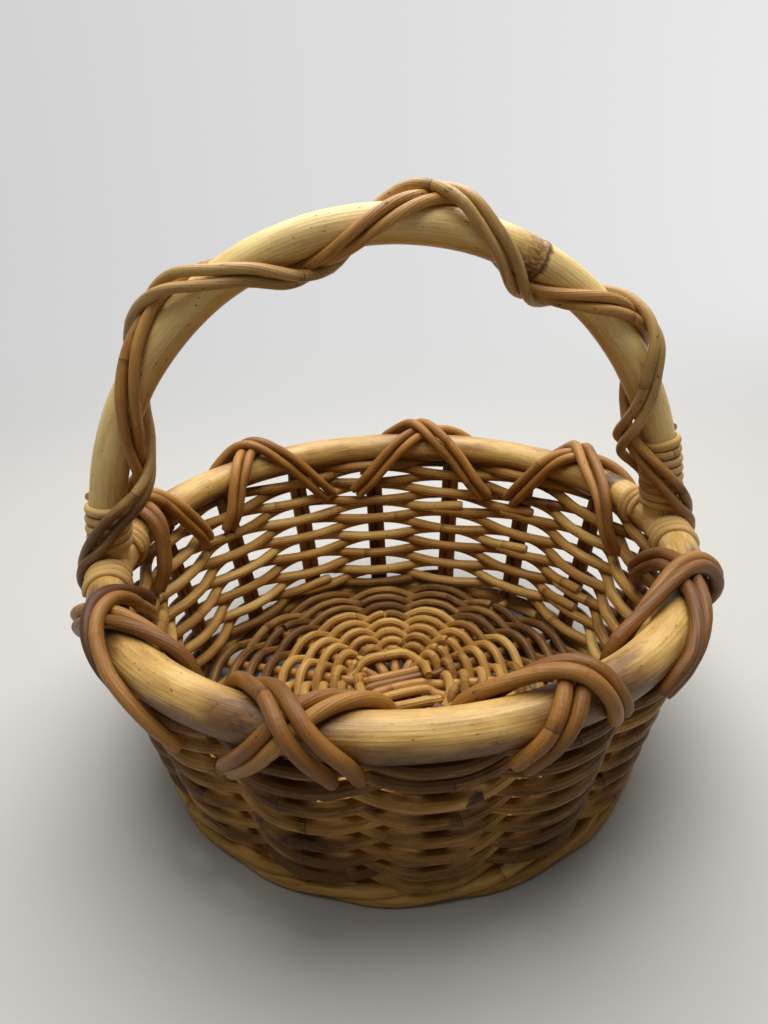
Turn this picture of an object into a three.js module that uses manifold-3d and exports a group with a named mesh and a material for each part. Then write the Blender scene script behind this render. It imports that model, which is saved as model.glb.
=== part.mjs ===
// A round rattan gathering basket with a fixed arched handle.
// Thick poles make the rim hoop and the handle. Pairs of canes stand as stakes, long canes are
// woven round them, and pairs of bent canes cross over the rim. Units are millimetres, +Z is up,
// and the origin is on the floor at the middle of the base. The handle stands over the X axis.
import * as THREE from 'three';
import { mergeVertices } from 'three/addons/utils/BufferGeometryUtils.js';
import Module from 'manifold-3d';

const wasm = await Module();
wasm.setup();

// Rim hoop and handle poles
const HOOP_RADIUS = 170;
const HOOP_THICKNESS = 22;
const HOOP_HEIGHT = 127;
const HANDLE_THICKNESS = 21;
const HANDLE_RISE = 186;
const HANDLE_FULLNESS = 0.983;

// Wall: stakes in pairs, and two long canes that chase each other round them
const STAKE_THICKNESS = 7;
const STAKE_FOOT_RADIUS = 146;
const STAKE_TOP_INSET = 3;
const STAKE_SAWN_END = 3;
const WEAVER_THICKNESS = 7;
const WEAVER_CUT_END = 0.1;
const WEAVE_GAP = 0.57;
const ROW_PITCH = 7.4;

// Foot ring that the basket stands on, and how far its core lies outside the stakes' feet
const FOOT_THICKNESS = 12;
const FOOT_SPREAD = 2;

// Base: two layers of crossed sticks, and two canes woven round their ends. A pair of stakes
// stands at each end of each stick.
const STICKS_PER_LAYER = 4;
const BASE_STICK_THICKNESS = 5.5;
const BASE_WEAVER_THICKNESS = 6;
const BASE_ROW_PITCH = 7.3;
const BASE_FLOOR_GAP = 0.7;
const BASE_DOME = 4;
const BASE_WEAVE_START = 40;
const SLATH_MARGIN = 1.3;

// Border canes that cross over the rim hoop
const BORDER_THICKNESS = 7.5;
const BORDER_INSIDE_DROP = 32;
const BORDER_OUTSIDE_DROP = 30;
const BORDER_GAP = 0.8;

// Where each pair lies, in degrees round the basket: at its inside end, on top of the hoop and at
// its outside end, then the share of the way in that it travels while it is on the hoop
const BORDER_CROSSINGS = [
  { over: [7, 30, 47, 0.68], under: [48, 31, 12, 0.38] },
  { over: [55.5, 77, 92, 0.5], under: [96, 74.5, 58, 0.42] },
  { over: [104, 123, 138, 0.42], under: [138.5, 126, 106, 0.55] },
  { over: [146.5, 160, 176, 0.35], under: [173, 163, 147, 0.35] },
  { over: [181, 204, 226, 0.5], under: [226, 208, 190, 0.8] },
  { over: [234, 248, 258.5, 0.62], under: [264, 253, 237, 0.82] },
  { over: [272, 293, 297, 0.8], under: [298.5, 291, 277, 0.6] },
  { over: [306.5, 333, 341, 0.95], under: [357, 330, 304.5, 0.5] },
];

// Canes that twine round the handle, in two pairs of opposite hand
const TWINE_THICKNESS = 6;
const TWINE_TURNS = 3.76;
const TWINE_START = 0.12;
const TWINE_TIGHTENING = 0.16;
const TWINE_STRAIGHT = 30;
const TWINE_STEP_DOWN = 12;

// Split cane bound round the feet of the handle and the rim beside them
const BINDING_WIDTH = 5;
const BINDING_THICKNESS = 2.6;
const BINDING_PITCH = 5.9;
const BINDING_SEAT_GAP = 0.95;
const FOOT_BINDING_TURNS = 8;
const RIM_BINDING_TURNS = 2.5;

// Clearance between canes that touch, and how finely round forms are cut
const GAP = 0.35;
const HOOP_STEPS = 48;
const HANDLE_STEPS = 36;
const POLE_SIDES = 10;
const FOOT_STEPS = 32;
const FOOT_SIDES = 8;
const BINDING_STEPS = 12;
const UNDER_TWINE_STEPS = 14;
const OVER_TWINE_STEPS = 22;
const BORDER_STEPS = 13;
const CANE_SIDES = 5;
const STICK_SIDES = 6;

const UP = new THREE.Vector3(0, 0, 1);
const FRONT = new THREE.Vector3(0, -1, 0);
const TURN = Math.PI * 2;
const radians = THREE.MathUtils.degToRad;

function radial(angle) {
  return new THREE.Vector3(Math.cos(angle), Math.sin(angle), 0);
}

function polar(radius, angle, height) {
  return radial(angle).multiplyScalar(radius).setZ(height);
}

function ease(value) {
  return THREE.MathUtils.smoothstep(value, 0, 1);
}

// Outlines are counter-clockwise, as [across, outward] pairs
function roundOutline(radius, sides, start = 0) {
  return Array.from({ length: sides }, (_, i) => {
    const angle = start + (TURN * i) / sides;
    return [radius * Math.cos(angle), radius * Math.sin(angle)];
  });
}

function stripOutline(width, thickness) {
  const a = width / 2;
  const b = thickness / 2;
  return [[a, -b], [a, b], [-a, b], [-a, -b]];
}

// Two round canes side by side, pressed together so that they share a narrow waist
function pairOutline(thickness) {
  const radius = thickness / 2;
  const pressed = 0.96 * radius;
  const waist = 0.45 * radius;
  const right = [-65, 0, 65].map((degrees) => {
    const angle = radians(degrees);
    return [pressed + radius * Math.cos(angle), radius * Math.sin(angle)];
  });
  const left = right.map(([a, b]) => [-a, -b]);
  return [...right, [0, waist], ...left, [0, -waist]];
}

// A solid swept along straight stretches between points, mitred where they meet
function sweep(points, normals, outline, closed = false) {
  const count = points.length;
  const sides = outline.length;
  const positions = [];
  points.forEach((point, i) => {
    const before = points[closed ? (i + count - 1) % count : Math.max(i - 1, 0)];
    const after = points[closed ? (i + 1) % count : Math.min(i + 1, count - 1)];
    const last = point.clone().sub(before);
    const next = after.clone().sub(point);
    const arriving = (last.length() ? last : next).clone().normalize();
    const leaving = (next.length() ? next : last).clone().normalize();
    const along = arriving.clone().add(leaving).normalize();
    const bend = leaving.clone().sub(arriving);
    const stretch = bend.length() > 1e-6 ? 1 / along.dot(leaving) - 1 : 0;
    bend.normalize();
    const outward = normals[i].clone().addScaledVector(along, -normals[i].dot(along)).normalize();
    const across = outward.clone().cross(along);
    for (const [a, b] of outline) {
      const offset = across.clone().multiplyScalar(a).addScaledVector(outward, b);
      offset.addScaledVector(bend, offset.dot(bend) * stretch);
      positions.push(...offset.add(point).toArray());
    }
  });
  const index = [];
  for (let i = 0; i < (closed ? count : count - 1); i++) {
    for (let j = 0; j < sides; j++) {
      const a = i * sides + j;
      const b = i * sides + ((j + 1) % sides);
      const c = ((i + 1) % count) * sides + ((j + 1) % sides);
      const d = ((i + 1) % count) * sides + j;
      index.push(a, b, d, b, c, d);
    }
  }
  if (!closed) {
    const contour = outline.map(([a, b]) => new THREE.Vector2(a, b));
    const last = (count - 1) * sides;
    for (const [a, b, c] of THREE.ShapeUtils.triangulateShape(contour, [])) {
      index.push(c, b, a, last + a, last + b, last + c);
    }
  }
  const geometry = new THREE.BufferGeometry();
  geometry.setAttribute('position', new THREE.Float32BufferAttribute(positions, 3));
  geometry.setIndex(index);
  geometry.computeVertexNormals();
  return geometry;
}

function toSolid(geometry) {
  const plain = geometry.clone();
  plain.deleteAttribute('normal');
  const merged = mergeVertices(plain, 1e-5);
  return new wasm.Manifold(
    new wasm.Mesh({
      numProp: 3,
      vertProperties: Float32Array.from(merged.attributes.position.array),
      triVerts: Uint32Array.from(merged.index.array),
    }),
  );
}

function fromSolid(solid) {
  const mesh = solid.getMesh();
  const geometry = new THREE.BufferGeometry();
  geometry.setAttribute('position', new THREE.Float32BufferAttribute(mesh.vertProperties, 3));
  geometry.setIndex(Array.from(mesh.triVerts));
  geometry.computeVertexNormals();
  return geometry;
}

const basket = new THREE.Group();

function addPiece(name, geometry, material) {
  const mesh = new THREE.Mesh(geometry, material);
  mesh.name = name;
  basket.add(mesh);
}

function rattan(color, roughness) {
  return new THREE.MeshStandardMaterial({ color, roughness, metalness: 0 });
}

const poleFinish = rattan(0xd6b06a, 0.42);
const weaverFinish = rattan(0xb98a48, 0.5);
const stakeFinish = rattan(0x8f6232, 0.55);
const borderFinish = rattan(0xa8682f, 0.42);
const twineFinish = rattan(0xa5824a, 0.45);
const bindingFinish = rattan(0xd0a566, 0.5);

// Rim hoop: one thick pole bent into a circle
function hoopSolid(clearance) {
  const radius = HOOP_THICKNESS / 2 + clearance / Math.cos(Math.PI / POLE_SIDES);
  const angles = Array.from({ length: HOOP_STEPS }, (_, i) => (TURN * i) / HOOP_STEPS);
  const points = angles.map((angle) => polar(HOOP_RADIUS, angle, HOOP_HEIGHT));
  const start = Math.PI / POLE_SIDES;
  return sweep(points, angles.map(radial), roundOutline(radius, POLE_SIDES, start), true);
}

addPiece('rim_hoop', hoopSolid(0), poleFinish);

// Handle: one pole bent into an arch, its feet notched to sit astride the hoop
class Arch extends THREE.Curve {
  getPoint(share, target = new THREE.Vector3()) {
    const angle = Math.PI * share;
    const across = Math.cos(angle);
    const reach = Math.sign(across) * Math.abs(across) ** HANDLE_FULLNESS;
    const rise = Math.abs(Math.sin(angle)) ** HANDLE_FULLNESS;
    return target.set(-HOOP_RADIUS * reach, 0, HOOP_HEIGHT + HANDLE_RISE * rise);
  }
}

const arch = new Arch();
arch.arcLengthDivisions = 800;
const archLength = arch.getLength();

function archOutward(share) {
  return FRONT.clone().cross(arch.getTangentAt(share));
}

function handlePole() {
  const shares = Array.from({ length: HANDLE_STEPS + 1 }, (_, i) => i / HANDLE_STEPS);
  const points = shares.map((share) => arch.getPointAt(share));
  const outline = roundOutline(HANDLE_THICKNESS / 2, POLE_SIDES);
  const pole = toSolid(sweep(points, shares.map(archOutward), outline));
  return fromSolid(pole.subtract(toSolid(hoopSolid(GAP))));
}

addPiece('handle_pole', handlePole(), poleFinish);

// Bindings: flat cane wound round the handle's feet, and round the hoop on each side of them
const poleBindingRadius =
  (HANDLE_THICKNESS / 2 + GAP + BINDING_THICKNESS / 2) / Math.cos(Math.PI / BINDING_STEPS);
const hoopBindingRadius =
  (HOOP_THICKNESS / 2 + GAP + BINDING_THICKNESS / 2) / Math.cos(Math.PI / BINDING_STEPS);
const footBindingStart = HOOP_THICKNESS / 2 + BINDING_SEAT_GAP + BINDING_WIDTH / 2;
const footBindingEnd = footBindingStart + FOOT_BINDING_TURNS * BINDING_PITCH + BINDING_WIDTH / 2;
const rimBindingStart = poleBindingRadius + BINDING_THICKNESS / 2 + GAP + BINDING_WIDTH / 2;
const rimBindingEnd = rimBindingStart + RIM_BINDING_TURNS * BINDING_PITCH + BINDING_WIDTH / 2;
const bindingOutline = stripOutline(BINDING_WIDTH, BINDING_THICKNESS);

function winding(turns, frameAt, radius) {
  const steps = Math.round(turns * BINDING_STEPS);
  const points = [];
  const normals = [];
  for (let i = 0; i <= steps; i++) {
    const { centre, outward, side } = frameAt((turns * i) / steps);
    const angle = (TURN * turns * i) / steps;
    const normal = outward.clone().multiplyScalar(Math.cos(angle));
    normal.addScaledVector(side, Math.sin(angle));
    points.push(centre.clone().addScaledVector(normal, radius));
    normals.push(normal);
  }
  return { points, normals };
}

const windings = [];

function addWinding(name, { points, normals }) {
  windings.push({ name, points });
  addPiece(name, sweep(points, normals, bindingOutline), bindingFinish);
}

for (const [name, end] of [['left', 0], ['right', 1]]) {
  const footFrame = (turn) => {
    const distance = footBindingStart + turn * BINDING_PITCH;
    const share = end ? 1 - distance / archLength : distance / archLength;
    return { centre: arch.getPointAt(share), outward: archOutward(share), side: FRONT };
  };
  addWinding(`handle_binding_${name}`, winding(FOOT_BINDING_TURNS, footFrame, poleBindingRadius));
  for (const [place, side] of [['front', -1], ['back', 1]]) {
    const rimFrame = (turn) => {
      const distance = rimBindingStart + turn * BINDING_PITCH;
      const angle = end ? (side * distance) / HOOP_RADIUS : Math.PI - (side * distance) / HOOP_RADIUS;
      const outward = radial(angle);
      return { centre: polar(HOOP_RADIUS, angle, HOOP_HEIGHT), outward: outward.negate(), side: UP };
    };
    const turns = winding(RIM_BINDING_TURNS, rimFrame, hoopBindingRadius);
    addWinding(`rim_binding_${name}_${place}`, turns);
  }
}

// Twining: two pairs of canes climb the handle in opposite hands, the second pair over the first
const underTwineRadius =
  (HANDLE_THICKNESS / 2 + GAP + TWINE_THICKNESS / 2) / Math.cos(Math.PI / UNDER_TWINE_STEPS);
const overTwineRadius =
  (underTwineRadius + TWINE_THICKNESS + GAP) / Math.cos(Math.PI / OVER_TWINE_STEPS);
const twineSlope = Math.atan2(archLength / TWINE_TURNS, TURN * underTwineRadius);
const twineSpread = (TWINE_THICKNESS / 2 + GAP) / underTwineRadius / Math.sin(twineSlope);
const twineHoopClearance = hoopBindingRadius + BINDING_THICKNESS / 2 + GAP + TWINE_THICKNESS / 2;

// The over pair starts to rise this far round the pole before it meets the under pair, and lies
// at full height once it is closer by the second angle
const twineRiseFrom = radians(150);
const twineRiseSpan = radians(95);

// The canes run straight over each foot, and wind a little tighter toward the right one
function twinePhase(share) {
  const straight = TWINE_STRAIGHT / archLength;
  const wound = THREE.MathUtils.clamp((share - straight) / (1 - 2 * straight), 0, 1);
  return TURN * (TWINE_START + TWINE_TURNS * (wound - TWINE_TIGHTENING * wound * (1 - wound)));
}

function keepOffHoop(point, clearance) {
  const angle = Math.atan2(point.y, point.x);
  const core = polar(HOOP_RADIUS, angle, HOOP_HEIGHT);
  const away = point.clone().sub(core);
  if (away.length() < clearance) point.copy(core).addScaledVector(away.normalize(), clearance);
}

function twine(hand, side, over) {
  const stepsPerTurn = over ? OVER_TWINE_STEPS : UNDER_TWINE_STEPS;
  const steps = Math.round(TWINE_TURNS * stepsPerTurn);
  const points = [];
  const normals = [];
  for (let i = 0; i <= steps; i++) {
    const share = i / steps;
    const angle = hand * twinePhase(share) + side * twineSpread;
    const meeting = angle + hand * twinePhase(share);
    const apart = Math.abs(Math.atan2(Math.sin(meeting), Math.cos(meeting)));
    const fromFoot = Math.min(share, 1 - share) * archLength;
    const nearFoot = ease(fromFoot / HANDLE_THICKNESS - 1);
    const crossing = over ? nearFoot * ease((twineRiseFrom - apart) / twineRiseSpan) : 0;
    const pastBinding = fromFoot - footBindingEnd - TWINE_THICKNESS;
    const onBinding = 1 - ease(pastBinding / TWINE_STEP_DOWN);
    const radius =
      underTwineRadius +
      crossing * (overTwineRadius - underTwineRadius) +
      onBinding * (poleBindingRadius + BINDING_THICKNESS / 2 - HANDLE_THICKNESS / 2);
    const normal = archOutward(share).multiplyScalar(Math.cos(angle));
    normal.addScaledVector(FRONT, Math.sin(angle));
    const point = arch.getPointAt(share).addScaledVector(normal, radius);
    const stepLength = archLength / steps;
    keepOffHoop(point, twineHoopClearance + stepLength ** 2 / (8 * twineHoopClearance));
    points.push(point);
    normals.push(normal);
  }
  return { points, normals };
}

const twineOutline = roundOutline(TWINE_THICKNESS / 2, CANE_SIDES, Math.PI / 2);

for (const [name, hand, over] of [['under', -1, false], ['over', 1, true]]) {
  for (const side of [-1, 1]) {
    const { points, normals } = twine(hand, side, over);
    const label = `handle_cane_${name}_${side < 0 ? 1 : 2}`;
    windings.push({ name: label, points, width: TWINE_THICKNESS });
    addPiece(label, sweep(points, normals, twineOutline), twineFinish);
  }
}

// Least gap of each winding to itself, between stretches that are at least half a turn apart
for (const { name, points, width = BINDING_WIDTH } of windings) {
  const apart = width === BINDING_WIDTH ? BINDING_STEPS / 2 : UNDER_TWINE_STEPS / 2;
  let least = Infinity;
  for (let i = 0; i < points.length; i++) {
    for (let j = i + apart; j < points.length; j++) {
      least = Math.min(least, points[i].distanceTo(points[j]) - width);
    }
  }
  console.log(`${name}: least gap to itself ${least.toFixed(2)} mm`);
}

// Stakes: pairs of canes that stand on the foot ring and rise to the underside of the hoop
const footHalfHeight = (FOOT_THICKNESS / 2) * Math.cos(Math.PI / FOOT_SIDES);
const footRadius = STAKE_FOOT_RADIUS + FOOT_SPREAD;
const stakeFootHeight = 2 * footHalfHeight + GAP;
const stakeTopHeight = HOOP_HEIGHT - HOOP_THICKNESS / 2 - GAP;
const stakeTopRadius = HOOP_RADIUS - STAKE_TOP_INSET;

// The ends are sawn square to the floor, and stand upright for a short way
function stakeRadius(height) {
  const low = stakeFootHeight + STAKE_SAWN_END;
  const share = (height - low) / (stakeTopHeight - STAKE_SAWN_END - low);
  return THREE.MathUtils.lerp(STAKE_FOOT_RADIUS, stakeTopRadius, THREE.MathUtils.clamp(share, 0, 1));
}

function number(i) {
  return String(i + 1).padStart(2, '0');
}

const stakePairs = 4 * STICKS_PER_LAYER;
const stakeStep = TURN / stakePairs;

for (let i = 0; i < stakePairs; i++) {
  const angle = stakeStep * i;
  const heights = [
    stakeFootHeight,
    stakeFootHeight + STAKE_SAWN_END,
    stakeTopHeight - STAKE_SAWN_END,
    stakeTopHeight,
  ];
  const points = heights.map((height) => polar(stakeRadius(height), angle, height));
  const pair = sweep(points, points.map(() => radial(angle)), pairOutline(STAKE_THICKNESS));
  addPiece(`stake_pair_${number(i)}`, pair, stakeFinish);
}

// Foot ring: a stout cane under the stakes, worn flat where it rests on the floor
function footRing() {
  const angles = Array.from({ length: FOOT_STEPS }, (_, i) => (TURN * i) / FOOT_STEPS);
  const points = angles.map((angle) => polar(footRadius, angle, footHalfHeight));
  const outline = roundOutline(FOOT_THICKNESS / 2, FOOT_SIDES, Math.PI / FOOT_SIDES);
  return sweep(points, angles.map(() => UP), outline, true);
}

addPiece('foot_ring', footRing(), weaverFinish);

// Heights of the base: its weavers pass under the sticks and clear the floor
const baseContact = (BASE_STICK_THICKNESS + BASE_WEAVER_THICKNESS) / 2 + GAP;
const baseHeight = BASE_FLOOR_GAP + BASE_WEAVER_THICKNESS / 2 + baseContact;
const baseTop = Math.max(baseHeight + BASE_STICK_THICKNESS / 2, 2 * footHalfHeight);

// Wall weavers: each passes outside one pair of stakes and inside the next
const weaveOffset = (STAKE_THICKNESS + WEAVER_THICKNESS) / 2 + WEAVE_GAP;
const firstRowHeight = baseTop + GAP + WEAVER_THICKNESS / 2;
const lastRowHeight = stakeTopHeight - WEAVER_THICKNESS / 2;
const wallTurns = (lastRowHeight - firstRowHeight) / (2 * ROW_PITCH);
const wallCrossings = Math.floor(wallTurns * stakePairs);
const wallOutline = roundOutline(WEAVER_THICKNESS / 2, CANE_SIDES, Math.PI / 2);

function wallWeaver(strand, from, to) {
  const startAngle = strand * Math.PI;
  const points = [];
  const normals = [];
  for (let i = from; i <= to; i++) {
    const angle = startAngle + stakeStep * i;
    const stake = Math.round(angle / stakeStep);
    const side = (stake + strand) % 2 ? -1 : 1;
    const height = firstRowHeight + (2 * ROW_PITCH * i) / stakePairs;
    const half = STAKE_THICKNESS / stakeRadius(height);
    const ends = [i === from ? WEAVER_CUT_END : -1, i === to ? -WEAVER_CUT_END : 1];
    for (const end of ends) {
      const rise = (2 * ROW_PITCH * end * half) / TURN;
      const radius = (stakeRadius(height + rise) + side * weaveOffset) / Math.cos(half);
      points.push(polar(radius, angle + end * half, height + rise));
      normals.push(radial(angle + end * half));
    }
  }
  return sweep(points, normals, wallOutline);
}

for (const [strand, letter] of [[0, 'a'], [1, 'b']]) {
  const middle = Math.round(wallCrossings / 2);
  addPiece(`wall_weaver_${letter}_lower`, wallWeaver(strand, 0, middle), weaverFinish);
  addPiece(`wall_weaver_${letter}_upper`, wallWeaver(strand, middle, wallCrossings), weaverFinish);
}

// Base sticks: four over four, fanned out so that one end lies at each pair of stakes
const layerOffset = (BASE_STICK_THICKNESS + GAP) / 2;
const stickReach = footRadius - FOOT_THICKNESS / 2 - GAP;
const fanRadius = BASE_WEAVE_START - BASE_WEAVER_THICKNESS;
const slathHalf = (STICKS_PER_LAYER * (BASE_STICK_THICKNESS + GAP)) / 2 + SLATH_MARGIN;
const slathTurn = stakeStep / 2;

function domeHeight(radius) {
  const share = (stickReach - radius) / (stickReach - fanRadius);
  return baseHeight + BASE_DOME * Math.min(share, 1);
}

function baseStick(layer, place) {
  const heading = slathTurn + ((1 - layer) * Math.PI) / 2;
  const fromMiddle = place - (STICKS_PER_LAYER - 1) / 2;
  const shift = fromMiddle * (BASE_STICK_THICKNESS + GAP);
  const fan = fromMiddle * stakeStep;
  const middle = new THREE.Vector3(0, shift, 0).applyAxisAngle(UP, heading);
  const along = radial(heading).multiplyScalar(slathHalf);
  const flat = domeHeight(0) + (layer ? layerOffset : -layerOffset);
  const end = (sign, radius) =>
    polar(radius, heading + (sign < 0 ? Math.PI - fan : fan), domeHeight(radius));
  const points = [
    end(-1, stickReach),
    end(-1, fanRadius),
    middle.clone().sub(along).setZ(flat),
    middle.clone().add(along).setZ(flat),
    end(1, fanRadius),
    end(1, stickReach),
  ];
  return sweep(points, points.map(() => UP), roundOutline(BASE_STICK_THICKNESS / 2, STICK_SIDES));
}

for (const [layer, name] of [[0, 'lower'], [1, 'upper']]) {
  for (let place = 0; place < STICKS_PER_LAYER; place++) {
    addPiece(`base_stick_${name}_${place + 1}`, baseStick(layer, place), stakeFinish);
  }
}

// Base weavers: two canes chase each other outward, over one stick and under the next
const baseWeaveEnd =
  STAKE_FOOT_RADIUS - weaveOffset - WEAVER_THICKNESS / 2 - GAP - BASE_WEAVER_THICKNESS / 2;
const baseTurns = (baseWeaveEnd - BASE_WEAVE_START) / (2 * BASE_ROW_PITCH);

function baseWeaver(strand) {
  const crossings = Math.floor(baseTurns * stakePairs);
  const points = [];
  for (let i = 0; i <= crossings; i++) {
    const angle = strand * Math.PI + stakeStep * i;
    const radius = BASE_WEAVE_START + (2 * BASE_ROW_PITCH * i) / stakePairs;
    const spacing = stakeStep * radius;
    const lift = baseContact / Math.sqrt(1 - ((2 * baseContact) / spacing) ** 2);
    const side = (i + strand * (stakePairs / 2 + 1)) % 2 ? -1 : 1;
    points.push(polar(radius, angle, domeHeight(radius) + side * lift));
  }
  const outline = roundOutline(BASE_WEAVER_THICKNESS / 2, CANE_SIDES, Math.PI / 2);
  return sweep(points, points.map(() => UP), outline);
}

addPiece('base_weaver_a', baseWeaver(0), weaverFinish);
addPiece('base_weaver_b', baseWeaver(1), weaverFinish);

// Border: at each crossing two pairs of canes come up inside the wall, pass over the hoop
// leaning opposite ways, and go down outside. The pair that leans forward lies on top.
const borderRadius = BORDER_THICKNESS / 2;
const borderOnHoop = HOOP_THICKNESS / 2 + BORDER_GAP + borderRadius;
const borderLift = BORDER_THICKNESS + GAP;
const bindingEdge = rimBindingEnd / HOOP_RADIUS;
const bindingRise = hoopBindingRadius + BINDING_THICKNESS / 2 - HOOP_THICKNESS / 2;

// A pair lies on the hoop's round back as far as these angles from the top, inside and outside,
// and leaves it there on a straight line down the wall
const leavesInside = radians(78);
const leavesOutside = radians(102);

// The share of the way out that a pair travels while it is on the hoop
const outwardOnHoop = 0.7;

// How near to each other the two pairs are when the over pair starts to rise, and when it lies
// at full height
const borderRiseFrom = 4.1 * BORDER_THICKNESS;
const borderRiseUntil = 2.05 * BORDER_THICKNESS;

// How far beyond a rim binding the canes are still clear of it, and where they come down
const rimRoomReach = radians(6);
const rimRoomSpan = radians(4);

// A pair is worked out at this many spots and eased this often, as a stiff cane bends
const borderSpots = 60;
const borderEasing = 14;

function wallSurface(height, side) {
  const skin = weaveOffset + WEAVER_THICKNESS / 2 + BORDER_GAP + borderRadius;
  return { radius: stakeRadius(height) + side * skin, height };
}

function hoopSurface(angle, extra) {
  const core = borderOnHoop + extra;
  const radius = HOOP_RADIUS + core * Math.cos(angle);
  return { radius, height: HOOP_HEIGHT + core * Math.sin(angle) };
}

function between(low, high, share) {
  return {
    radius: THREE.MathUtils.lerp(low.radius, high.radius, share),
    height: THREE.MathUtils.lerp(low.height, high.height, share),
  };
}

function eased(values) {
  let smooth = values;
  for (let round = 0; round < borderEasing; round++) {
    smooth = smooth.map((value, i) => {
      if (i === 0 || i === smooth.length - 1) return value;
      return (smooth[i - 1] + 2 * value + smooth[i + 1]) / 4;
    });
  }
  return smooth;
}

const insideEnd = wallSurface(HOOP_HEIGHT - BORDER_INSIDE_DROP, -1);
const outsideEnd = wallSurface(HOOP_HEIGHT - BORDER_OUTSIDE_DROP, 1);
const insideArc = borderOnHoop * leavesInside;
const outsideArc = borderOnHoop * leavesOutside;

function straightRun(arc, side, end) {
  const leaving = hoopSurface(Math.PI / 2 - (side * arc) / borderOnHoop, 0);
  return Math.hypot(leaving.radius - end.radius, leaving.height - end.height);
}

const insideReach = insideArc + straightRun(insideArc, -1, insideEnd);
const outsideReach = outsideArc + straightRun(outsideArc, 1, outsideEnd);

// Each spot's distance from the top of the hoop across its back, negative inside
const borderAlong = Array.from({ length: borderSpots + 1 }, (_, i) =>
  THREE.MathUtils.lerp(-insideReach, outsideReach, i / borderSpots),
);

function borderAngles([inside, top, outside, inwardOnHoop]) {
  return eased(
    borderAlong.map((along) => {
      const [end, arc, reach, onHoop] =
        along < 0
          ? [inside, insideArc, insideReach, inwardOnHoop]
          : [outside, outsideArc, outsideReach, outwardOnHoop];
      const away = Math.abs(along);
      const beyond = onHoop + ((away - arc) / (reach - arc)) * (1 - onHoop);
      const share = away < arc ? (onHoop * away) / arc : beyond;
      return radians(top + (end - top) * share);
    }),
  );
}

function borderLifts(angles, other) {
  return eased(
    angles.map((angle, i) => {
      const gaps = other.map((otherAngle, j) =>
        Math.hypot((angle - otherAngle) * HOOP_RADIUS, borderAlong[i] - borderAlong[j]),
      );
      const share = (borderRiseFrom - Math.min(...gaps)) / (borderRiseFrom - borderRiseUntil);
      return borderLift * ease(share);
    }),
  );
}

// Spots for the rings: close together on the hoop, and one at each end
function borderRings() {
  const turns = BORDER_STEPS - 2;
  const wanted = [-insideReach];
  for (let i = 0; i <= turns; i++) {
    wanted.push(THREE.MathUtils.lerp(-insideArc, outsideArc, i / turns));
  }
  wanted.push(outsideReach);
  const span = insideReach + outsideReach;
  return wanted.map((along) => Math.round(((along + insideReach) / span) * borderSpots));
}

function borderPair(angles, lifts) {
  const spots = borderAlong.map((along, i) => {
    const fromFoot = Math.abs(Math.asin(Math.sin(angles[i])));
    const room = bindingRise * ease((bindingEdge + rimRoomReach - fromFoot) / rimRoomSpan);
    const onHoop = THREE.MathUtils.clamp(along, -insideArc, outsideArc);
    const surface = hoopSurface(Math.PI / 2 - onHoop / borderOnHoop, lifts[i] + room);
    const beyond = Math.abs(along - onHoop);
    if (along < 0) return between(surface, insideEnd, beyond / (insideReach - insideArc));
    return between(surface, outsideEnd, beyond / (outsideReach - outsideArc));
  });
  const rings = borderRings();
  const points = rings.map((i) => polar(spots[i].radius, angles[i], spots[i].height));
  const normals = rings.map((i) => {
    const up = Math.max(spots[i].height - HOOP_HEIGHT, 0);
    const tilt = Math.atan2(up, spots[i].radius - HOOP_RADIUS);
    return radial(angles[i]).multiplyScalar(Math.cos(tilt)).addScaledVector(UP, Math.sin(tilt));
  });
  return sweep(points, normals, pairOutline(BORDER_THICKNESS));
}

BORDER_CROSSINGS.forEach(({ over, under }, i) => {
  const below = borderAngles(under);
  const above = borderAngles(over);
  const flat = below.map(() => 0);
  addPiece(`border_pair_over_${i + 1}`, borderPair(above, borderLifts(above, below)), borderFinish);
  addPiece(`border_pair_under_${i + 1}`, borderPair(below, flat), borderFinish);
});

export default basket;
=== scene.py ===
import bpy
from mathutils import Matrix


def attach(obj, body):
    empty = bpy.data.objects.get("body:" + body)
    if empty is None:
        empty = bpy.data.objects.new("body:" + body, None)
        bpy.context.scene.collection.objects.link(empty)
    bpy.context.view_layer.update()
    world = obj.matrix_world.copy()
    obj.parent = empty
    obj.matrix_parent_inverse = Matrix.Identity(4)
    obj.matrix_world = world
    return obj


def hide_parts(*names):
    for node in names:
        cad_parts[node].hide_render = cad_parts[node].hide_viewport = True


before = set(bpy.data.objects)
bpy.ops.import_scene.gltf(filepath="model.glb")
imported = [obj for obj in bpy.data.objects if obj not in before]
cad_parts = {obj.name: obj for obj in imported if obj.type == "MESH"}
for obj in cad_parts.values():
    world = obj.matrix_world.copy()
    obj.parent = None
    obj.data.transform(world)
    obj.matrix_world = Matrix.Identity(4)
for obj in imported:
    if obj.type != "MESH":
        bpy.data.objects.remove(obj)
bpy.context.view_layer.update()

import math
import random

import bmesh
import bpy
from mathutils import Matrix, Vector, noise

# Rim hoop. A thick peeled rattan pole, steamed and bent into a circle. It carries the handle and
# the border, so it comes first, and every later cane is laid against it.
HOOP_RADIUS = 0.170
HOOP_THICKNESS = 0.022
HOOP_HEIGHT = 0.127
POLE_JOINT_SPACING = 0.5
POLE_SIDES = 32
HOOP_STEP = 0.004
HOOP_PATH_STEPS = 360
HOOP_TONE = 0.52
HOOP_JOINT_START = 0.02
FULL_TURN = 2 * math.pi
UP = Vector((0, 0, 1))
FRONT = Vector((0, -1, 0))
SEED = 25
chance = random.Random(SEED)
noise.seed_set(SEED)


def radial(angle):
    return Vector((math.cos(angle), math.sin(angle), 0))


def polar(radius, angle, height):
    return Vector((radius * math.cos(angle), radius * math.sin(angle), height))


def ease(value):
    value = min(max(value, 0), 1)
    return value * value * (3 - 2 * value)


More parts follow.
